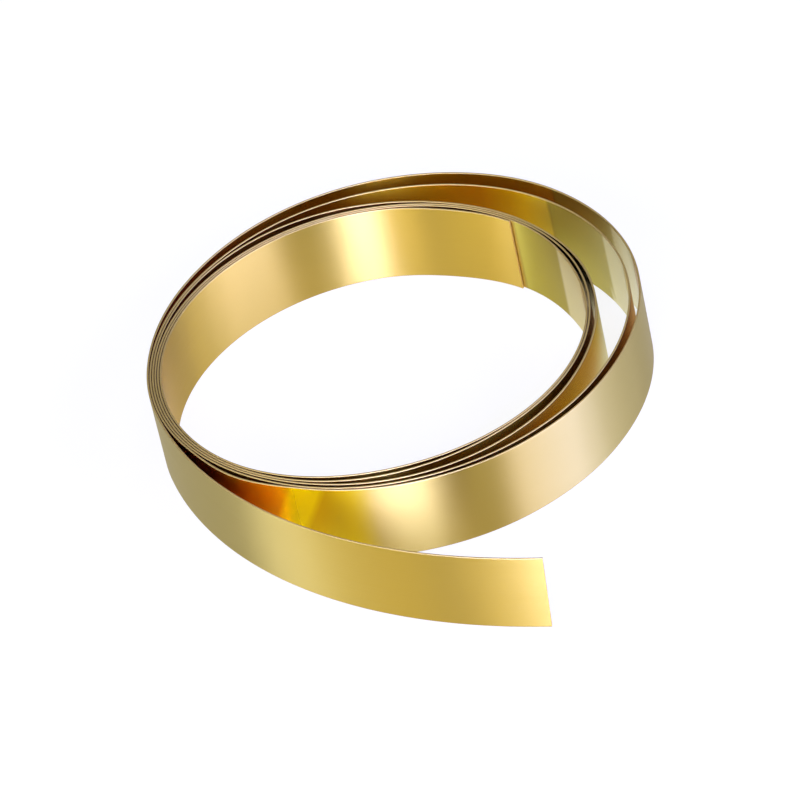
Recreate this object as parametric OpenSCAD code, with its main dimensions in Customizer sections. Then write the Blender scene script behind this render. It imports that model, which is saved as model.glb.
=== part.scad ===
// Loose roll of brass strip, standing on its edge on the floor.
// The strip winds anticlockwise, seen from above, from its inner end outwards.
// A winding angle keeps counting past 360: 1100 lies in the third turn, at 20 degrees from +X.
// A gap is the space from one turn to the next turn outside it. It is widest at its winding
// angle, and closes as a smooth wave over its half angle to either side.
// A bulge or press moves every turn that passes its direction, and a dip moves one turn alone.

/* [Strip] */
// Width of the strip, and so the height of the roll as it stands
strip_w = 20; // [6:0.5:60]
// Thickness of the strip
strip_t = 0.5; // [0.2:0.05:1]

/* [Winding] */
// Mean radius of the innermost turn
inner_r = 46.6; // [35:0.1:120]
// Amount by which the turns bulge along X and flatten along Y
oval = 1.8; // [0:0.1:3]
// Clearance between turns that lie against each other
turn_gap = 0.08; // [0.05:0.01:0.5]
// Winding angle of the inner end
inner_end_angle = 39; // [0:1:90]

/* [Bulge of all turns at the front left] */
// Distance that the turns stand out
bulge = 0.55; // [0:0.05:2]
// Direction of its middle, from +X
bulge_angle = 233; // [200:1:270]
// Angle over which it ends to either side
bulge_half_angle = 48; // [30:1:80]

/* [Press of all turns at the back left] */
// Distance that the turns are pressed in
press = 1.05; // [0:0.05:2]
// Direction of its middle, from +X
press_angle = 156; // [120:1:190]
// Angle over which it ends to either side
press_half_angle = 73; // [50:1:100]

/* [Dip of the first turn near its end] */
// Distance that the turn is sprung in
first_dip = 0.55; // [0:0.05:1]
// Winding angle of its middle
first_dip_angle = 60; // [55:1:75]
// Angle over which it ends to either side
first_dip_half_angle = 23; // [15:1:30]

/* [Dip of the second turn before it passes that end] */
// Distance that the turn is sprung in
second_dip = 0.5; // [0:0.05:1]
// Winding angle of its middle
second_dip_angle = 371; // [350:1:375]
// Angle over which it ends to either side
second_dip_half_angle = 27; // [15:1:30]

/* [Gap in front, first to second turn] */
// Width of the gap
front_gap = 1; // [0:0.05:3]
// Winding angle of its middle
front_gap_angle = 264; // [220:1:300]
// Angle over which it closes to either side
front_gap_half_angle = 48; // [40:1:120]

/* [Gap at the front right, second to third turn] */
// Width of the gap
side_gap = 2.3; // [0:0.05:5]
// Winding angle of its middle
side_gap_angle = 658; // [620:1:700]
// Angle over which it closes to either side
side_gap_half_angle = 68; // [50:1:160]

/* [Gap at the right, second to third turn] */
// Width of the gap
right_gap = 0.75; // [0:0.05:2]
// Winding angle of its middle
right_gap_angle = 720; // [700:1:750]
// Angle over which it closes to either side
right_gap_half_angle = 36; // [25:1:60]

/* [Gap behind, third to fourth turn] */
// Width of the gap
rear_gap = 1.5; // [0:0.05:3]
// Winding angle of its middle
rear_gap_angle = 832; // [800:1:870]
// Angle over which it closes to either side
rear_gap_half_angle = 61; // [45:1:100]

/* [Gap in front, third to fourth turn] */
// Width of the gap
low_gap = 0.65; // [0:0.05:2]
// Winding angle of its middle
low_gap_angle = 985; // [950:1:1020]
// Angle over which it closes to either side
low_gap_half_angle = 60; // [40:1:100]

/* [Wide gap at the right, third to fourth turn] */
// Width of the gap
wide_gap = 8; // [0:0.1:12]
// Winding angle of its middle
wide_gap_angle = 1101; // [1060:1:1140]
// Angle over which it closes to either side
wide_gap_half_angle = 118; // [90:1:160]

/* [Gap at the front left, fourth to fifth turn] */
// Width of the gap
left_gap = 0.85; // [0:0.05:1.5]
// Winding angle of its middle
left_gap_angle = 1306; // [1290:1:1330]
// Angle over which it closes to either side
left_gap_half_angle = 19; // [15:1:60]

/* [Gap at the front right, fourth to fifth turn] */
// Width of the gap
fourth_gap = 1; // [0:0.05:3]
// Winding angle of its middle
fourth_gap_angle = 1389; // [1350:1:1430]
// Angle over which it closes to either side
fourth_gap_half_angle = 69; // [45:1:120]

/* [Wide gap behind, fifth to sixth turn] */
// Width of the gap
outer_gap = 3.55; // [0:0.05:8]
// Winding angle of its middle
outer_gap_angle = 1501; // [1450:1:1540]
// Angle over which it closes to either side
outer_gap_half_angle = 120; // [90:1:160]

/* [Tail] */
// Winding angle at which the outer end springs away from the roll
tail_angle = 1990; // [1960:1:2040]
// Length of the sprung tail
tail_l = 113; // [20:1:160]
// Radius of its bend where it leaves the roll
tail_root_r = 77; // [70:1:200]
// Radius of its bend at the free end
tail_end_r = 148; // [75:1:400]
// Angle by which the cut at the free end is out of square, short at its foot
tail_cut_angle = 3; // [0:0.5:10]

/* [Hidden] */

// Largest angle between two points along the turns
turn_step = 3;
// Half the angle over which a direction along the turns is measured
probe = 0.5;
pitch = strip_t + turn_gap;

LEANS = [
    [bulge, bulge_angle, bulge_half_angle],
    [-press, press_angle, press_half_angle],
];
DIPS = [
    [first_dip, first_dip_angle, first_dip_half_angle],
    [second_dip, second_dip_angle, second_dip_half_angle],
];
GAPS = [
    [front_gap, front_gap_angle, front_gap_half_angle],
    [side_gap, side_gap_angle, side_gap_half_angle],
    [right_gap, right_gap_angle, right_gap_half_angle],
    [rear_gap, rear_gap_angle, rear_gap_half_angle],
    [low_gap, low_gap_angle, low_gap_half_angle],
    [wide_gap, wide_gap_angle, wide_gap_half_angle],
    [left_gap, left_gap_angle, left_gap_half_angle],
    [fourth_gap, fourth_gap_angle, fourth_gap_half_angle],
    [outer_gap, outer_gap_angle, outer_gap_half_angle],
];

function total(list, i = 0) = i < len(list) ? list[i] + total(list, i + 1) : 0;
function wave(x) = abs(x) < 1 ? (1 + cos(180 * x)) / 2 : 0;
function waves(list, a) = total([for (g = list) g[0] * wave((a - g[1]) / g[2])]);
function nearest_turn(a) = a - 360 * round(a / 360);
function lean(a) = total([for (g = LEANS) g[0] * wave(nearest_turn(a - g[1]) / g[2])]);

// Sum of the gaps that the turns further in leave under the strip at winding angle a
function gaps_inside(a) =
    a - 360 < inner_end_angle ? 0 : waves(GAPS, a - 360) + gaps_inside(a - 360);

function turn_r(a) =
    inner_r + oval * cos(2 * a) + pitch * (a - inner_end_angle) / 360
    + lean(a) - waves(DIPS, a) + gaps_inside(a);
function turn_point(a) = turn_r(a) * [cos(a), sin(a)];
function heading(step) = atan2(step.y, step.x);
function turn_heading(a) = heading(turn_point(a + probe) - turn_point(a - probe));

// The turns, as points on the strip's middle line with the heading at each
turn_count = ceil((tail_angle - inner_end_angle) / turn_step);
turns = [
    for (i = [0 : turn_count])
        let (a = inner_end_angle + (tail_angle - inner_end_angle) * i / turn_count)
            [turn_point(a), turn_heading(a)]
];

// The tail, whose bend eases from its root to its free end in even steps
tail_count = ceil(tail_l / (inner_r * turn_step * PI / 180));
tail_step = tail_l / tail_count;
function bend(s) = (1 / tail_root_r + (1 / tail_end_r - 1 / tail_root_r) * s / tail_l) * 180 / PI;
tail = [
    for (
        i = 0, h = turns[turn_count][1], p = turns[turn_count][0];
        i <= tail_count;
        m = h + bend((i + 0.25) * tail_step) * tail_step / 2,
        p = p + tail_step * [cos(m), sin(m)],
        h = h + bend((i + 0.5) * tail_step) * tail_step,
        i = i + 1
    )
        if (i > 0) [p, h]
];

middle_line = concat(turns, tail);

// The strip's outline from above, which keeps half its thickness to either side of the line
function beside(k, side) =
    k[0] + side * strip_t / 2 * [sin(k[1]), -cos(k[1])];
last = len(middle_line) - 1;
outline = concat(
    [for (k = middle_line) beside(k, 1)],
    [for (i = [last : -1 : 0]) beside(middle_line[i], -1)]
);

// The origin is on the floor, at the middle of the roll's length and depth
xs = [for (p = outline) p.x];
ys = [for (p = outline) p.y];
middle = [min(xs) + max(xs), min(ys) + max(ys)] / 2;

// Everything past the cut at the free end, which leans back from the strip's upper edge
module past_tail_cut()
{
    tip = middle_line[last];
    translate(concat(tip[0] - middle, strip_w))
        rotate([0, tail_cut_angle, tip[1]])
            translate([0, -strip_w / 2, -2 * strip_w])
                cube([strip_w, strip_w, 3 * strip_w]);
}

module brass_strip()
{
    color([0.80, 0.64, 0.29])
        difference() {
            linear_extrude(strip_w)
                polygon([for (p = outline) p - middle]);
            past_tail_cut();
        }
}

brass_strip();
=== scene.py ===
"""A loose roll of bright brass strip on a plain studio floor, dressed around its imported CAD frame.

Lengths are in metres and angles in radians, except where a name ends in _deg.
"""

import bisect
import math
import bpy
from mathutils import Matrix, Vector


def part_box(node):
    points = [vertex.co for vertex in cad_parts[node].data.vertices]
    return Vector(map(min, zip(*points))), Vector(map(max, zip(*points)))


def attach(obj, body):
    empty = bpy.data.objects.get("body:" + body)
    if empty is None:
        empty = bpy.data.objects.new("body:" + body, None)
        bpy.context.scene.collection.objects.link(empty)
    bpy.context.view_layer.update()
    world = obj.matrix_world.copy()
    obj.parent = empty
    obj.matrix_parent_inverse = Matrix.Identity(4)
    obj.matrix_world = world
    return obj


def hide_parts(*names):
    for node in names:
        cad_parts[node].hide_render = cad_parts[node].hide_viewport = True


bl_info = {
    "name": "Brass Strip Roll",
    "version": (1, 0, 0),
    "blender": (4, 5, 0),
    "location": "3D View > Sidebar > Brass Roll",
    "description": "A loose spring roll of bright brass strip, its finish and a plain studio",
    "category": "Add Mesh",
}

import bmesh
import bpy
from bpy.props import FloatProperty, FloatVectorProperty, PointerProperty
from bpy.types import Operator, Panel, PropertyGroup
from mathutils import Matrix, Vector
from mathutils.bvhtree import BVHTree

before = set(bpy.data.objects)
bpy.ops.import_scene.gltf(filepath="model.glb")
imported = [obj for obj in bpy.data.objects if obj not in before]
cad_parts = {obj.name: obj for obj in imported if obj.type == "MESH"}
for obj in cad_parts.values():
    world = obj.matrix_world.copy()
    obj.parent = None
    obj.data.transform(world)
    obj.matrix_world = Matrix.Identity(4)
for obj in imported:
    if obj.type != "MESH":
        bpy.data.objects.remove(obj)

CAD_NODE = "brass_strip"
CAD_LOW, CAD_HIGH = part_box(CAD_NODE)
MILLIMETRE = 0.001
TURN = 2 * math.pi

# Sides of the photograph in pixels and of the camera's sensor in millimetres
PHOTO_SIDE = 800
SENSOR = 36.0

# Least share of its normal across the thickness that makes a face a rolled one, and along the
# strip that makes it a cut end
ROLLED_SHARE = 0.95
CUT_SHARE = 0.5
# Places of the three materials on the strip's mesh
ROLLED_FACE, SLIT_EDGE, CUT_END = range(3)
# Rows of vertices across the strip, as shares of its width
ROW_SHARES = (0.25, 0.5, 0.75)

# Widest gap that still gets painted shade and reflection on the faces to either side of it, and the
# one where that fades
OPEN_GAP = 18 * MILLIMETRE
OPENING_GAP = 14 * MILLIMETRE
# Gaps between which the rolling streaks come up to their full depth
STREAKED_GAPS = (8 * MILLIMETRE, 16 * MILLIMETRE)
# Roughness of a face that touches the next turn, as a share of an open face's, and the gap
# from which nothing of this polish is kept
KEPT_POLISH = 0.35
POLISHED_GAP = 16 * MILLIMETRE
# Amount by which the streaks raise and lower the roughness
STREAK_GLOSS = 0.05
# Grain of the noises along and across the strip, and the depth of those that are relief
CLOUD_GRAIN = (30 * MILLIMETRE, 12 * MILLIMETRE)
STREAK_GRAIN = (35 * MILLIMETRE, 0.3 * MILLIMETRE)
WAVE_GRAIN = (18 * MILLIMETRE, 30 * MILLIMETRE)
BURR_GRAIN = (MILLIMETRE / 0.9, 0.2 * MILLIMETRE)
STREAK_DEPTH = 0.03 * MILLIMETRE
WAVE_DEPTH = 0.08 * MILLIMETRE
BURR_DEPTH = 0.02 * MILLIMETRE
# Share by which the burr darkens and lightens the edges' colour
BURR_TINT = 0.15

# Painted shade and painted reflection on the brass between two turns, standing in for brass
# mirroring brass, by the width of the gap in millimetres
INWARD_GAP_SHADE_AND_REFLECTION = (
    (1.0, (0.62, 0.27, 0.03)),
    (3.0, (0.66, 0.36, 0.012)),
    (5.0, (0.68, 0.38, 0.010)),
    (6.5, (0.78, 0.38, 0.008)),
    (7.3, (0.92, 0.62, 0.012)),
    (7.8, (0.60, 0.50, 0.07)),
    (14.0, (0.60, 0.42, 0.06)),
)
OUTWARD_GAP_SHADE_AND_REFLECTION = (
    (1.0, (0.68, 0.42, 0.03)),
    (2.0, (0.68, 0.50, 0.035)),
    (3.0, (0.70, 0.53, 0.05)),
    (5.0, (0.62, 0.54, 0.10)),
    (8.0, (0.62, 0.56, 0.15)),
    (14.0, (0.56, 0.42, 0.08)),
)
# Painted reflection on the outside of the roll behind the tail: orange and yellow bands where the
# tail and the roll mirror each other, by the width of the gap in millimetres
BEHIND_TAIL_PAINTED_REFLECTION = (
    (3.0, (0.98, 0.42, 0.01)),
    (5.2, (1.0, 0.55, 0.01)),
    (6.7, (0.88, 0.52, 0.01)),
    (8.6, (0.80, 0.48, 0.008)),
    (9.2, (1.0, 0.80, 0.002)),
    (11.5, (1.0, 0.80, 0.002)),
    (12.3, (0.76, 0.50, 0.004)),
    (14.5, (0.72, 0.50, 0.012)),
)
# Lengths from the inner end between which the strip's outside comes to face the tail
BEHIND_TAIL = (1.28, 1.32)
# How much wider the gap counts there at the strip's foot, which stands the painted reflection
# upright
LEAN_BEHIND_TAIL = 4 * MILLIMETRE
# Painted reflections on the inward faces on the right, a pale one and an olive one, by the azimuths
# in degrees between which they look
SIDE_PAINTED_REFLECTIONS = (
    (184, 200.5, (0.79, 0.72, 0.37)),
    (200.5, 222, (0.49, 0.41, 0.055)),
)
# Lengths from the inner end over which the painted pale sheen on the outside starts, and stops on
# the tail
PALE_SHEEN_PARTS = (
    ("last turn starts", 1.440, 1.475),
    ("tail starts", 1.780, 1.735),
)

# Soft boxes that stand round the roll: name, azimuths of the two sides in degrees, level, colour
SOFT_BOXES = (
    ("box_left", 180, 197, 3.8, (1.0, 1.05, 1.6)),
    ("box_left_wide", 197, 223, 1.9, (1.0, 0.95, 0.5)),
    ("box_front_left", 231, 248, 3.2, (1.0, 0.95, 0.8)),
    ("box_front", 248, 273, 5.0, (1.0, 1.12, 3.8)),
    ("box_right", 306, 338, 4.8, (1.0, 1.12, 4.0)),
    ("box_right_side", 338, 350, 3.4, (1.0, 1.1, 3.5)),
    ("box_right_far", 350, 362, 1.6, (1.0, 1.1, 3.0)),
    ("box_back_right", 362, 378, 0.8, (1.0, 1.1, 3.0)),
)
BOX_DISTANCE = 1.6
BOX_ELEVATION_DEG = 22
BOX_HALF_UP_DEG = 20
# Soft box overhead: name, middle, width, height, level, colour
TOP_BOX = ("box_top", (0.0, 0.0, 1.5), 1.6, 1.6, 1.6, (1.0, 1.0, 1.0))
# The same of those close to the roll, which the brass mirrors but which don't light the floor
NEAR_BOXES = (
    ("near_front", (-0.0335, -0.200, 0.160), 0.083, 0.200, 9.0, (1.0, 1.25, 4.4)),
    ("near_front_high", (-0.0290, -0.190, 0.330), 0.095, 0.140, 5.0, (1.0, 1.3, 5.0)),
)
FLOOR_RADIUS = 6.0
WALL_DISTANCE = 2.0
WALL_HEIGHT = 2.4
WALL_COLOUR = (0.02, 0.02, 0.02)


def degrees(*values):
    """A list of angles in radians, written in degrees."""
    return [math.radians(v) for v in values]


class BrassStripShape(PropertyGroup):
    """The strip and its winding, as the part's source has them."""

    width: FloatProperty(
        name="Width",
        description="Width of the strip, and so the height of the roll",
        default=(CAD_HIGH - CAD_LOW).z,
        min=0.005,
        unit="LENGTH",
    )
    thickness: FloatProperty(
        name="Thickness",
        description="Thickness, a little under the CAD's so that smooth bends stay in its box",
        default=0.46 * MILLIMETRE,
        min=0.0001,
        precision=5,
        unit="LENGTH",
    )
    pitch: FloatProperty(
        name="Pitch",
        description="Distance from one turn to the next where they lie against each other",
        default=0.58 * MILLIMETRE,
        min=0.0001,
        precision=5,
        unit="LENGTH",
    )
    inner_radius: FloatProperty(
        name="Inner radius",
        description="Mean radius of the innermost turn",
        default=46.6 * MILLIMETRE,
        min=0.01,
        precision=4,
        unit="LENGTH",
    )
    oval: FloatProperty(
        name="Oval",
        description="Amount by which the turns bulge along X and flatten along Y",
        default=1.8 * MILLIMETRE,
        precision=4,
        unit="LENGTH",
    )
    inner_end: FloatProperty(
        name="Inner end",
        description="Winding angle of the inner end",
        default=math.radians(39),
        unit="ROTATION",
    )
    leans: FloatVectorProperty(
        name="Leans",
        description="Distances that all turns stand out at the front left and at the back left",
        size=2,
        default=[g * MILLIMETRE for g in (0.55, -1.05)],
        precision=4,
        unit="LENGTH",
    )
    lean_angles: FloatVectorProperty(
        name="Lean angles",
        description="Direction of the middle of each lean",
        size=2,
        default=degrees(233, 156),
        unit="ROTATION",
    )
    lean_half_angles: FloatVectorProperty(
        name="Lean half angles",
        description="Angle over which each lean ends to either side",
        size=2,
        default=degrees(48, 73),
        unit="ROTATION",
    )
    dips: FloatVectorProperty(
        name="Dips",
        description="Distances that the first and the second turn are sprung in near the inner end",
        size=2,
        default=[g * MILLIMETRE for g in (0.55, 0.5)],
        precision=4,
        unit="LENGTH",
    )
    dip_angles: FloatVectorProperty(
        name="Dip angles",
        description="Winding angle of the middle of each dip",
        size=2,
        default=degrees(60, 371),
        unit="ROTATION",
    )
    dip_half_angles: FloatVectorProperty(
        name="Dip half angles",
        description="Angle over which each dip ends to either side",
        size=2,
        default=degrees(23, 27),
        unit="ROTATION",
    )
    gaps: FloatVectorProperty(
        name="Gaps",
        description="Widths of the gaps between turns, from the inside outwards",
        size=9,
        default=[g * MILLIMETRE for g in (1.0, 2.3, 0.75, 1.5, 0.65, 8.0, 0.85, 1.0, 3.55)],
        precision=4,
        unit="LENGTH",
    )
    gap_angles: FloatVectorProperty(
        name="Gap angles",
        description="Winding angle of the middle of each gap",
        size=9,
        default=degrees(264, 658, 720, 832, 985, 1101, 1306, 1389, 1501),
        unit="ROTATION",
    )
    gap_half_angles: FloatVectorProperty(
        name="Gap half angles",
        description="Angle over which each gap closes to either side",
        size=9,
        default=degrees(48, 68, 36, 61, 60, 118, 19, 69, 120),
        unit="ROTATION",
    )
    tail_start: FloatProperty(
        name="Tail start",
        description="Winding angle at which the outer end springs away from the roll",
        default=math.radians(1990),
        unit="ROTATION",
    )
    tail_length: FloatProperty(
        name="Tail length",
        description="Length of the sprung tail",
        default=113 * MILLIMETRE,
        min=0.001,
        precision=4,
        unit="LENGTH",
    )
    tail_root_radius: FloatProperty(
        name="Tail root radius",
        description="Radius of the tail's bend where it leaves the roll",
        default=77 * MILLIMETRE,
        precision=4,
        unit="LENGTH",
    )
    tail_end_radius: FloatProperty(
        name="Tail end radius",
        description="Radius of the tail's bend at its free end",
        default=148 * MILLIMETRE,
        precision=4,
        unit="LENGTH",
    )
    tail_cut: FloatProperty(
        name="Tail cut",
        description="Angle by which the cut at the free end is out of square",
        default=math.radians(3),
        unit="ROTATION",
    )
    edge_round: FloatProperty(
        name="Edge round",
        description="Rounding of the strip's long edges",
        default=0.1 * MILLIMETRE,
        min=0.0,
        precision=5,
        unit="LENGTH",
    )
    segment: FloatProperty(
        name="Segment",
        description="Length of one segment of the mesh along the strip",
        default=1.2 * MILLIMETRE,
        min=0.0004,
        precision=4,
        unit="LENGTH",
    )


class BrassFinish(PropertyGroup):
    """Colours and gloss of the rolled faces, the slit edges and the cut ends."""

    face_colour: FloatVectorProperty(
        name="Face colour",
        description="Colour of the bright rolled faces",
        subtype="COLOR",
        size=3,
        min=0.0,
        max=1.0,
        default=(0.54, 0.375, 0.06),
    )
    face_warm: FloatVectorProperty(
        name="Warm tint",
        description="Colour of the faintly warmer clouds on the faces",
        subtype="COLOR",
        size=3,
        min=0.0,
        max=1.0,
        default=(0.57, 0.38, 0.06),
    )
    face_roughness: FloatProperty(
        name="Face roughness",
        description="Roughness of the rolled faces before the streaks stretch it across the strip",
        default=0.38,
        min=0.0,
        max=1.0,
        subtype="FACTOR",
    )
    outer_colour: FloatVectorProperty(
        name="Outer face colour",
        description="Colour of the face that is wound outwards",
        subtype="COLOR",
        size=3,
        min=0.0,
        max=1.0,
        default=(0.485, 0.33, 0.052),
    )
    # Paler colour on the outside of the last turn, a painted sheen for its whiter highlights
    pale_sheen_colour: FloatVectorProperty(
        name="Pale sheen face colour",
        description="Paler colour of the outside of the last turn, a painted sheen",
        subtype="COLOR",
        size=3,
        min=0.0,
        max=1.0,
        default=(0.53, 0.42, 0.113),
    )
    edge_colour: FloatVectorProperty(
        name="Edge colour",
        description="Colour of the slit edges",
        subtype="COLOR",
        size=3,
        min=0.0,
        max=1.0,
        default=(0.42, 0.30, 0.085),
    )
    cut_colour: FloatVectorProperty(
        name="Cut end colour",
        description="Colour of the two freshly cut ends",
        subtype="COLOR",
        size=3,
        min=0.0,
        max=1.0,
        default=(0.66, 0.46, 0.14),
    )
    edge_roughness: FloatProperty(
        name="Edge roughness",
        description="Roughness of the slit edges",
        default=0.5,
        min=0.0,
        max=1.0,
        subtype="FACTOR",
    )


class StudioSettings(PropertyGroup):
    """The floor, the light and the camera."""

    floor_colour: FloatVectorProperty(
        name="Floor colour",
        description="Colour of the floor",
        subtype="COLOR",
        size=3,
        min=0.0,
        max=1.0,
        default=(0.8, 0.8, 0.8),
    )
    floor_lift: FloatProperty(
        name="Floor lift",
        description="Share of the floor that is plain white where it is seen or mirrored",
        default=0.85,
        min=0.0,
        max=1.0,
        subtype="FACTOR",
    )
    fill: FloatProperty(
        name="Fill",
        description="Level of the light from all round",
        default=0.1,
        min=0.0,
    )
    key: FloatProperty(
        name="Key",
        description="Level of the soft boxes, as a share of their set levels",
        default=1.0,
        min=0.0,
    )
    eye_distance: FloatProperty(
        name="Camera distance",
        description="Distance from the camera to the roll",
        default=1.4713,
        unit="LENGTH",
    )
    eye_elevation: FloatProperty(
        name="Camera elevation",
        description="Angle of the camera above the floor",
        default=math.radians(40),
        unit="ROTATION",
    )
    eye_roll: FloatProperty(
        name="Camera roll",
        description="Turn of the camera about its own line of sight",
        default=math.radians(-12.8),
        unit="ROTATION",
    )
    eye_focal_pixels: FloatProperty(
        name="Focal length in pixels",
        description="Focal length in pixels of the square photograph",
        default=6612,
    )
    eye_target: FloatVectorProperty(
        name="Camera target",
        description="Point that the camera looks at",
        size=3,
        default=(-1.98 * MILLIMETRE, 3.43 * MILLIMETRE, 10 * MILLIMETRE),
        precision=5,
        unit="LENGTH",
    )


def wave(x):
    """A smooth bump: 1 at 0, and 0 from -1 down and from 1 up."""
    return (1 + math.cos(math.pi * x)) / 2 if abs(x) < 1 else 0.0


def waves(sizes, angles, half_angles, angle, whole_turn=0.0):
    """Sum at an angle of smooth bumps, which come round again where a whole turn is given."""
    total = 0.0
    for size, middle, half in zip(sizes, angles, half_angles):
        past = angle - middle
        if whole_turn:
            past -= whole_turn * round(past / whole_turn)
        total += size * wave(past / half)
    return total


def turn_radius(shape, angle):
    """Radius of the strip's middle line at a winding angle."""
    radius = shape.inner_radius + shape.oval * math.cos(2 * angle)
    radius += shape.pitch * (angle - shape.inner_end) / TURN
    radius += waves(shape.leans, shape.lean_angles, shape.lean_half_angles, angle, TURN)
    radius -= waves(shape.dips, shape.dip_angles, shape.dip_half_angles, angle)
    below = angle - TURN
    while below >= shape.inner_end:
        radius += waves(shape.gaps, shape.gap_angles, shape.gap_half_angles, below)
        below -= TURN
    return radius


def turn_point(shape, angle):
    """Point of the strip's middle line at a winding angle."""
    radius = turn_radius(shape, angle)
    return Vector((radius * math.cos(angle), radius * math.sin(angle)))


def centre_line(shape, step=math.radians(0.5), tail_steps=200):
    """The strip's middle line from its inner end, as lists of lengths, points and headings."""
    count = math.ceil((shape.tail_start - shape.inner_end) / step)
    angles = [
        shape.inner_end + (shape.tail_start - shape.inner_end) * i / count
        for i in range(count + 1)
    ]
    points = [turn_point(shape, a) for a in angles]
    headings = []
    for a in angles:
        ahead = turn_point(shape, a + step) - turn_point(shape, a - step)
        heading = math.atan2(ahead.y, ahead.x)
        while headings and heading < headings[-1] - math.pi:
            heading += TURN
        headings.append(heading)
    lengths = [0.0]
    for before, after in zip(points, points[1:]):
        lengths.append(lengths[-1] + (after - before).length)
    root, end = 1 / shape.tail_root_radius, 1 / shape.tail_end_radius
    stride = shape.tail_length / tail_steps
    for i in range(tail_steps):
        bend = root + (end - root) * (i + 0.5) / tail_steps
        half_turned = headings[-1] + bend * stride / 2
        points.append(points[-1] + stride * Vector((math.cos(half_turned), math.sin(half_turned))))
        headings.append(headings[-1] + bend * stride)
        lengths.append(lengths[-1] + stride)
    return lengths, points, headings


def place_on_line(line, distance):
    """Point and heading of the middle line at a distance from the inner end."""
    lengths, points, headings = line
    i = min(max(bisect.bisect_right(lengths, distance) - 1, 0), len(lengths) - 2)
    share = (distance - lengths[i]) / (lengths[i + 1] - lengths[i])
    point = points[i].lerp(points[i + 1], share)
    return point, headings[i] + (headings[i + 1] - headings[i]) * share


def face_place(face, count):
    """A number of its own for each face, from its lowest and its highest of count vertices."""
    corners = [v.index for v in face.verts]
    return min(corners) * count + max(corners)


def flat_strip(shape, length):
    """The strip laid out flat along X, with its width up Z and its face UV in metres."""
    bm = bmesh.new()
    bmesh.ops.create_cube(bm, size=1.0)
    bmesh.ops.scale(bm, vec=(length, shape.thickness, shape.width), verts=bm.verts)
    bmesh.ops.translate(bm, vec=(length / 2, 0, shape.width / 2), verts=bm.verts)

    # The free end is cut a little out of square, short at its foot
    foot = [v for v in bm.verts if v.co.x > length / 2 and v.co.z < shape.width / 2]
    bmesh.ops.translate(bm, vec=(-shape.width * math.tan(shape.tail_cut), 0, 0), verts=foot)

    def along(edges):
        return [e for e in edges if abs(e.verts[0].co.x - e.verts[1].co.x) > length / 2]

    bmesh.ops.bevel(
        bm,
        geom=along(bm.edges),
        offset=shape.edge_round,
        segments=2,
        profile=0.5,
        affect="EDGES",
        material=-1,
    )
    # The rows beside the rounding keep its shading off the flat faces
    beside_edge = 4 * shape.edge_round
    rows = [beside_edge, shape.width - beside_edge]
    rows += [shape.width * share for share in ROW_SHARES]
    for z in rows:
        everything = bm.verts[:] + bm.edges[:] + bm.faces[:]
        bmesh.ops.bisect_plane(bm, geom=everything, plane_co=(0, 0, z), plane_no=(0, 0, 1))
    bmesh.ops.subdivide_edges(
        bm,
        edges=along(bm.edges),
        cuts=math.ceil(length / shape.segment),
        use_grid_fill=True,
    )
    # Subdividing leaves the faces in an order that differs from run to run
    bm.verts.index_update()
    count = len(bm.verts)
    bm.faces.sort(key=lambda face: face_place(face, count))

    bm.normal_update()
    cut_faces = [f for f in bm.faces if abs(f.normal.x) > CUT_SHARE]
    for face in cut_faces:
        for edge in face.edges:
            edge.smooth = False
    uv = bm.loops.layers.uv.new("UVMap")
    for face in bm.faces:
        rolled = abs(face.normal.y) > ROLLED_SHARE
        other_side = 2 * shape.width if face.normal.y > 0 else 0.0
        for loop in face.loops:
            co = loop.vert.co
            across = co.z + other_side if rolled else co.y
            loop[uv].uv = (co.x, across)
        face.material_index = ROLLED_FACE if rolled else SLIT_EDGE
        face.smooth = True
    for face in cut_faces:
        face.material_index = CUT_END
    return bm


def roll_up(bm, shape, line):
    """Bends the flat strip onto the winding, and centres it on the CAD's box."""
    for vert in bm.verts:
        point, heading = place_on_line(line, vert.co.x)
        inward = Vector((-math.sin(heading), math.cos(heading)))
        placed = point + inward * vert.co.y
        vert.co.x, vert.co.y = placed
    xs = [v.co.x for v in bm.verts]
    ys = [v.co.y for v in bm.verts]
    middle = (CAD_LOW + CAD_HIGH) / 2
    shift = (
        middle.x - (min(xs) + max(xs)) / 2,
        middle.y - (min(ys) + max(ys)) / 2,
        CAD_LOW.z,
    )
    bmesh.ops.translate(bm, vec=shift, verts=bm.verts)


def measure_gaps(bm, shape):
    """Keeps at each vertex its clear distance to the next turn, its side and the colour of the
    painted reflection for the way it looks.
    """
    bm.normal_update()
    tree = BVHTree.FromBMesh(bm)
    gap = bm.verts.layers.float.new("gap")
    outside = bm.verts.layers.float.new("outside")
    side = bm.verts.layers.float_color.new("side")
    past_rounding = 1.5 * shape.edge_round
    for vert in bm.verts:
        outwards = Vector((vert.normal.x, vert.normal.y, 0)).normalized()
        start = Vector((vert.co.x, vert.co.y, shape.width / 2)) + outwards * past_rounding
        distance = tree.ray_cast(start, outwards, OPEN_GAP)[3]
        vert[gap] = OPEN_GAP if distance is None else distance
        vert[outside] = 1.0 if outwards.dot(start) > 0 else 0.0
        looks_to = math.atan2(outwards.y, outwards.x) % TURN
        vert[side] = (0.0, 0.0, 0.0, 0.0)
        # Inward faces on the right get a painted reflection by the way they look
        for start_angle, end_angle, colour in SIDE_PAINTED_REFLECTIONS:
            on_side = math.radians(start_angle) < looks_to < math.radians(end_angle)
            if on_side and not vert[outside]:
                vert[side] = (*colour, 1.0)


def add_node(tree, kind, label=""):
    """Adds a node under a plain label."""
    node = tree.nodes.new(kind)
    node.label = label
    return node


def feed(tree, value, socket):
    """Gives an input a link from another socket, or else a plain number or colour."""
    if isinstance(value, bpy.types.NodeSocket):
        tree.links.new(value, socket)
    elif socket.type == "RGBA":
        socket.default_value = (*value, 1.0)
    else:
        socket.default_value = value


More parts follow.
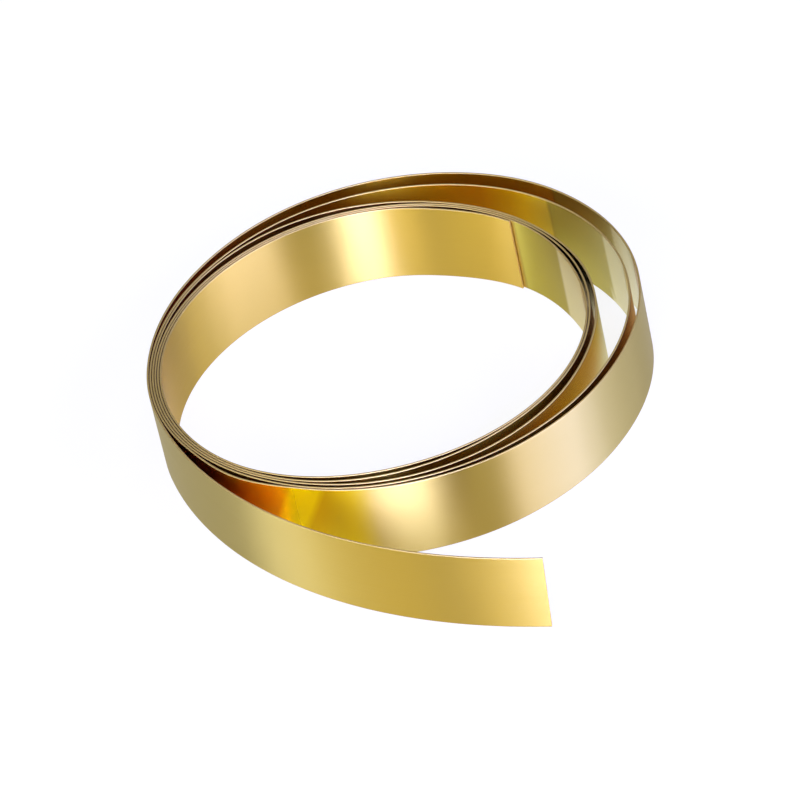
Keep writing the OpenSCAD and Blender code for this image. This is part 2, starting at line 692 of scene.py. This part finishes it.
def calculate(tree, label, operation, first, second):
    """Two numbers put together by a Math node."""
    node = add_node(tree, "ShaderNodeMath", label)
    node.operation = operation
    feed(tree, first, node.inputs[0])
    feed(tree, second, node.inputs[1])
    return node.outputs[0]


def map_range(tree, label, value, from_range, to_range=(0.0, 1.0), kind="LINEAR"):
    """A number carried over from one range to another, and held at its ends."""
    node = add_node(tree, "ShaderNodeMapRange", label)
    node.interpolation_type = kind
    names = ("From Min", "From Max", "To Min", "To Max")
    for name, limit in zip(names, (*from_range, *to_range)):
        node.inputs[name].default_value = limit
    tree.links.new(value, node.inputs["Value"])
    return node.outputs["Result"]


def mix(tree, label, factor, first, second, kind="RGBA"):
    """The first colour or number where the factor is 0, and the second where it is 1."""
    node = add_node(tree, "ShaderNodeMix", label)
    node.data_type = kind
    feed(tree, factor, node.inputs["Factor"])
    feed(tree, first, node.inputs["A"])
    feed(tree, second, node.inputs["B"])
    return node.outputs["Result"]


def bump(tree, label, height, depth, normal=None):
    """Normals of a surface with relief, on top of other normals where they are given."""
    node = add_node(tree, "ShaderNodeBump", label)
    node.inputs["Distance"].default_value = depth
    tree.links.new(height, node.inputs["Height"])
    if normal is not None:
        tree.links.new(normal, node.inputs["Normal"])
    return node.outputs["Normal"]


def attribute(tree, name):
    """Outputs of a vertex attribute."""
    node = add_node(tree, "ShaderNodeAttribute", name)
    node.attribute_name = name
    return node.outputs


def stretched_noise(tree, uv, label, grain, detail=2.0):
    """Noise whose grain has the given length along and width across the strip."""
    along, across = grain
    mapping = add_node(tree, "ShaderNodeMapping", label)
    mapping.inputs["Scale"].default_value = (1 / along, 1 / across, 1.0)
    noise = add_node(tree, "ShaderNodeTexNoise", label)
    noise.inputs["Scale"].default_value = 1.0
    noise.inputs["Detail"].default_value = detail
    tree.links.new(uv, mapping.inputs["Vector"])
    tree.links.new(mapping.outputs["Vector"], noise.inputs["Vector"])
    return noise.outputs["Fac"]


def gap_ramp(tree, label, colours, share):
    """Painted shade and reflection of a face between turns, by the width of the gap as a share of
    OPEN_GAP.
    """
    ramp = add_node(tree, "ShaderNodeValToRGB", label)
    elements = ramp.color_ramp.elements
    for i, (width, colour) in enumerate(colours):
        place = width * MILLIMETRE / OPEN_GAP
        stop = elements[i] if i < 2 else elements.new(place)
        stop.position = place
        stop.color = (*colour, 1.0)
    tree.links.new(share, ramp.inputs["Fac"])
    return ramp.outputs["Color"]


def new_material(name):
    """An empty material, its node tree and the input that takes its surface."""
    material = bpy.data.materials.new(name)
    material.use_nodes = True
    tree = material.node_tree
    tree.nodes.clear()
    output = add_node(tree, "ShaderNodeOutputMaterial")
    return material, tree, output.inputs["Surface"]


def brass_material(name):
    """A material of plain metal, its node tree, the metal's inputs and the strip's UV."""
    material, tree, surface = new_material(name)
    metal = add_node(tree, "ShaderNodeBsdfPrincipled")
    metal.inputs["Metallic"].default_value = 1.0
    tree.links.new(metal.outputs["BSDF"], surface)
    uv = add_node(tree, "ShaderNodeUVMap")
    uv.uv_map = "UVMap"
    return material, tree, metal.inputs, uv.outputs["UV"]


def open_colour(tree, finish, uv, along, outside):
    """Colour of a face that has no turn near it."""
    clouds = stretched_noise(tree, uv, "warm clouds", CLOUD_GRAIN)
    inner = mix(tree, "brass", clouds, finish.face_colour, finish.face_warm)
    outer = mix(tree, "outer face", outside, inner, finish.outer_colour)
    # The outside of the last turn gets a paler colour, a painted sheen that whitens its highlights,
    # and the tail goes back to the outer colour
    pale_sheen = outside
    for label, start, end in PALE_SHEEN_PARTS:
        part = map_range(tree, label, along, (start, end), kind="SMOOTHSTEP")
        pale_sheen = calculate(tree, label, "MULTIPLY", pale_sheen, part)
    return mix(tree, "brass with painted pale sheen", pale_sheen, outer, finish.pale_sheen_colour)


def painted_light_between_turns(tree, shape, along, across, gap, outside):
    """Painted shade and painted reflection of a face near another turn, standing in for brass
    mirroring brass.
    """
    share = map_range(tree, "gap as a share", gap, (0.0, OPEN_GAP))
    # Behind the tail the painted reflection stands upright, while the gap's width is the same all
    # the way down
    lean = (0.0, LEAN_BEHIND_TAIL / OPEN_GAP)
    down = map_range(tree, "way down the strip", across, (shape.width, 0.0), lean)
    upright = calculate(tree, "upright behind the tail", "ADD", share, down)
    outward = mix(
        tree,
        "outward face between turns",
        map_range(tree, "behind the tail", along, BEHIND_TAIL),
        gap_ramp(tree, "outward face in a gap", OUTWARD_GAP_SHADE_AND_REFLECTION, share),
        gap_ramp(tree, "outward face behind the tail", BEHIND_TAIL_PAINTED_REFLECTION, upright),
    )
    inward = gap_ramp(tree, "inward face in a gap", INWARD_GAP_SHADE_AND_REFLECTION, share)
    return mix(tree, "painted shade and reflection between turns", outside, inward, outward)


def rolled_face_material(shape, finish):
    """Bright rolled brass, with streaks along the strip that stretch its highlights across it."""
    material, tree, metal, uv = brass_material("rolled brass face")
    metal["Anisotropic"].default_value = 1.0
    metal["Anisotropic Rotation"].default_value = 0.25
    tangent = add_node(tree, "ShaderNodeTangent", "along the strip")
    tangent.direction_type = "UV_MAP"
    tangent.uv_map = "UVMap"
    tree.links.new(tangent.outputs["Tangent"], metal["Tangent"])

    place = add_node(tree, "ShaderNodeSeparateXYZ", "place on the strip")
    tree.links.new(uv, place.inputs["Vector"])
    along, across = place.outputs["X"], place.outputs["Y"]
    gap = attribute(tree, "gap")["Fac"]
    outside = attribute(tree, "outside")["Fac"]
    side = attribute(tree, "side")

    # The base colour takes painted shade and reflection between the turns
    between = painted_light_between_turns(tree, shape, along, across, gap, outside)
    open_face = open_colour(tree, finish, uv, along, outside)
    opening = map_range(tree, "open face", gap, (OPENING_GAP, OPEN_GAP), kind="SMOOTHSTEP")
    by_gap = mix(tree, "gap or open face", opening, between, open_face)
    # Painted reflections on the inward faces on the right go over the rest
    by_side = mix(tree, "painted reflection by side", side["Alpha"], by_gap, side["Color"])
    tree.links.new(by_side, metal["Base Color"])

    # The streaks are worn in on open faces, and fade out between turns
    streaks = stretched_noise(tree, uv, "rolling streaks", STREAK_GRAIN, 3.0)
    depth = map_range(tree, "depth of the streaks", gap, STREAKED_GAPS, kind="SMOOTHSTEP")
    worn = mix(tree, "worn streaks", depth, 0.5, streaks, kind="FLOAT")

    limits = (finish.face_roughness - STREAK_GLOSS, finish.face_roughness + STREAK_GLOSS)
    streaky = map_range(tree, "streaky gloss", worn, (0.0, 1.0), limits)
    polish = map_range(tree, "kept polish", gap, (0.0, POLISHED_GAP), (KEPT_POLISH, 1.0))
    gloss = calculate(tree, "gloss", "MULTIPLY", streaky, polish)
    tree.links.new(gloss, metal["Roughness"])

    faint_waves = stretched_noise(tree, uv, "faint waves", WAVE_GRAIN, 1.0)
    waved = bump(tree, "faint waves", faint_waves, WAVE_DEPTH)
    tree.links.new(bump(tree, "streaks", worn, STREAK_DEPTH, waved), metal["Normal"])
    return material


def slit_edge_material(name, colour, roughness):
    """Sheared brass, duller than the rolled faces."""
    material, tree, metal, uv = brass_material(name)
    metal["Roughness"].default_value = roughness
    burr = stretched_noise(tree, uv, "burr", BURR_GRAIN)
    dark = [c * (1 - BURR_TINT) for c in colour]
    light = [min(c * (1 + BURR_TINT), 1.0) for c in colour]
    tree.links.new(mix(tree, "edge brass", burr, dark, light), metal["Base Color"])
    tree.links.new(bump(tree, "burr", burr, BURR_DEPTH), metal["Normal"])
    return material


def add_mesh_object(context, name, bm, materials):
    """Turns a bmesh into an object at the origin."""
    mesh = bpy.data.meshes.new(name)
    bm.to_mesh(mesh)
    bm.free()
    for material in materials:
        mesh.materials.append(material)
    made = bpy.data.objects.new(name, mesh)
    context.scene.collection.objects.link(made)
    return made


class OBJECT_OT_brass_strip_roll(Operator):
    """Winds the brass strip and gives it its finish"""

    bl_idname = "object.brass_strip_roll"
    bl_label = "Brass strip"

    def execute(self, context):
        shape = context.scene.brass_strip_shape
        finish = context.scene.brass_finish
        line = centre_line(shape)
        length = line[0][-1]
        bm = flat_strip(shape, length)
        roll_up(bm, shape, line)
        measure_gaps(bm, shape)
        materials = [rolled_face_material(shape, finish)]
        for name, colour in (
            ("slit brass edge", finish.edge_colour),
            ("fresh cut brass end", finish.cut_colour),
        ):
            materials.append(slit_edge_material(name, colour, finish.edge_roughness))
        piece = add_mesh_object(context, "brass_strip_roll", bm, materials)
        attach(piece, "root")
        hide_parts(CAD_NODE)
        return {"FINISHED"}


def seen_or_mirrored(tree):
    """A socket that is 1 for camera, glossy and transmission rays, and 0 for the rest."""
    ray = add_node(tree, "ShaderNodeLightPath").outputs
    seen = calculate(tree, "seen", "MAXIMUM", ray["Is Camera Ray"], ray["Is Glossy Ray"])
    return calculate(tree, "seen or mirrored", "MAXIMUM", seen, ray["Is Transmission Ray"])


def matt_shader(tree, colour):
    """A plain matt surface."""
    matt = add_node(tree, "ShaderNodeBsdfDiffuse")
    matt.inputs["Color"].default_value = (*colour, 1.0)
    return matt.outputs["BSDF"]


def floor_material(studio):
    """Pale matt floor that reads white where it is seen or mirrored, and keeps soft shadows."""
    material, tree, surface = new_material("studio floor")
    white = add_node(tree, "ShaderNodeEmission")
    white.inputs["Strength"].default_value = 1.0
    share = calculate(tree, "lift", "MULTIPLY", seen_or_mirrored(tree), studio.floor_lift)
    lifted = add_node(tree, "ShaderNodeMixShader")
    tree.links.new(share, lifted.inputs[0])
    tree.links.new(matt_shader(tree, studio.floor_colour), lifted.inputs[1])
    tree.links.new(white.outputs[0], lifted.inputs[2])
    tree.links.new(lifted.outputs[0], surface)
    return material


def dark_wall_material():
    """Matt black for the wall that gives the metal its dark reflections."""
    material, tree, surface = new_material("studio dark wall")
    tree.links.new(matt_shader(tree, WALL_COLOUR), surface)
    return material


def around(azimuth_deg, elevation_deg, distance):
    """A point seen from the roll at an azimuth from +X and an elevation."""
    azimuth, elevation = degrees(azimuth_deg, elevation_deg)
    return distance * Vector((
        math.cos(azimuth) * math.cos(elevation),
        math.sin(azimuth) * math.cos(elevation),
        math.sin(elevation),
    ))


def turned_inwards(point):
    """Rotation of a lamp at a point so that its -Z looks at the roll and its Y is up."""
    return (-point).to_track_quat("-Z", "Y")


class SCENE_OT_plain_studio(Operator):
    """Sets up the floor, the soft light and the camera"""

    bl_idname = "scene.plain_studio"
    bl_label = "Plain studio"

    def execute(self, context):
        studio = context.scene.studio_settings
        self.add_floor(context, studio)
        self.add_lamps(context, studio)
        self.add_dark_wall(context)
        self.add_world(context, studio)
        self.add_camera(context, studio)
        return {"FINISHED"}

    def add_floor(self, context, studio):
        bm = bmesh.new()
        bmesh.ops.create_circle(bm, cap_ends=True, segments=64, radius=FLOOR_RADIUS)
        floor = add_mesh_object(context, "floor", bm, [floor_material(studio)])

    def add_lamp(self, context, studio, name, place, width, height, level, colour):
        """Adds a soft box that looks at the roll and that the camera doesn't see."""
        lamp = bpy.data.lights.new(name, "AREA")
        lamp.shape = "RECTANGLE"
        lamp.size = width
        lamp.size_y = height
        lamp.color = colour
        # Cycles gives an area lamp a radiance of its power over four times its area
        lamp.energy = level * studio.key * 4 * width * height
        box = bpy.data.objects.new(name, lamp)
        box.location = place
        box.rotation_mode = "QUATERNION"
        box.rotation_quaternion = turned_inwards(box.location)
        box.visible_camera = False
        context.scene.collection.objects.link(box)
        return box

    def add_lamps(self, context, studio):
        height = 2 * BOX_DISTANCE * math.tan(math.radians(BOX_HALF_UP_DEG))
        for name, start, end, level, colour in SOFT_BOXES:
            place = around((start + end) / 2, BOX_ELEVATION_DEG, BOX_DISTANCE)
            width = 2 * BOX_DISTANCE * math.tan(math.radians((end - start) / 2))
            self.add_lamp(context, studio, name, place, width, height, level, colour)
        self.add_lamp(context, studio, *TOP_BOX)
        for box in NEAR_BOXES:
            self.add_lamp(context, studio, *box).visible_diffuse = False

    def add_dark_wall(self, context):
        bm = bmesh.new()
        bmesh.ops.create_cone(
            bm,
            segments=48,
            radius1=WALL_DISTANCE,
            radius2=WALL_DISTANCE,
            depth=WALL_HEIGHT,
        )
        bmesh.ops.translate(bm, vec=(0, 0, WALL_HEIGHT / 2), verts=bm.verts)
        wall = add_mesh_object(context, "dark_wall", bm, [dark_wall_material()])
        wall.visible_camera = False

    def add_world(self, context, studio):
        world = bpy.data.worlds.new("studio")
        world.use_nodes = True
        tree = world.node_tree
        tree.nodes.clear()
        output = add_node(tree, "ShaderNodeOutputWorld")
        background = add_node(tree, "ShaderNodeBackground")
        background.inputs["Color"].default_value = (1.0, 1.0, 1.0, 1.0)
        lit = seen_or_mirrored(tree)
        level = map_range(tree, "level", lit, (0.0, 1.0), (studio.fill, 1.0))
        tree.links.new(level, background.inputs["Strength"])
        tree.links.new(background.outputs[0], output.inputs["Surface"])
        context.scene.world = world

    def add_camera(self, context, studio):
        sin, cos = math.sin, math.cos
        elevation, roll = studio.eye_elevation, studio.eye_roll
        forward = Vector((0, cos(elevation), -sin(elevation)))
        level_x = Vector((1, 0, 0))
        level_y = level_x.cross(forward)
        right = cos(roll) * level_x + sin(roll) * level_y
        up = cos(roll) * level_y - sin(roll) * level_x
        lens = bpy.data.cameras.new("camera")
        lens.sensor_width = SENSOR
        lens.lens = studio.eye_focal_pixels / PHOTO_SIDE * SENSOR
        lens.clip_start = 0.01
        lens.clip_end = 50.0
        camera = bpy.data.objects.new("camera", lens)
        camera.rotation_mode = "QUATERNION"
        camera.rotation_quaternion = Matrix((right, up, -forward)).transposed().to_quaternion()
        camera.location = Vector(studio.eye_target) - forward * studio.eye_distance
        context.scene.collection.objects.link(camera)
        context.scene.camera = camera
        context.scene.view_settings.view_transform = "Standard"


class VIEW3D_PT_brass_roll(Panel):
    """Lists the roll's values and the steps that make it"""

    bl_label = "Brass Strip Roll"
    bl_space_type = "VIEW_3D"
    bl_region_type = "UI"
    bl_category = "Brass Roll"

    def draw(self, context):
        layout = self.layout
        for group in (
            context.scene.brass_strip_shape,
            context.scene.brass_finish,
            context.scene.studio_settings,
        ):
            column = layout.column(align=True)
            for name in group.__annotations__:
                column.prop(group, name)
        layout.operator(OBJECT_OT_brass_strip_roll.bl_idname)
        layout.operator(SCENE_OT_plain_studio.bl_idname)


CLASSES = (
    BrassStripShape,
    BrassFinish,
    StudioSettings,
    OBJECT_OT_brass_strip_roll,
    SCENE_OT_plain_studio,
    VIEW3D_PT_brass_roll,
)


def register():
    for cls in CLASSES:
        bpy.utils.register_class(cls)
    bpy.types.Scene.brass_strip_shape = PointerProperty(type=BrassStripShape)
    bpy.types.Scene.brass_finish = PointerProperty(type=BrassFinish)
    bpy.types.Scene.studio_settings = PointerProperty(type=StudioSettings)


def unregister():
    del bpy.types.Scene.studio_settings
    del bpy.types.Scene.brass_finish
    del bpy.types.Scene.brass_strip_shape
    for cls in reversed(CLASSES):
        bpy.utils.unregister_class(cls)


def main():
    register()
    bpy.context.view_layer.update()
    bpy.ops.object.brass_strip_roll()
    bpy.ops.scene.plain_studio()


if __name__ == "__main__":
    main()
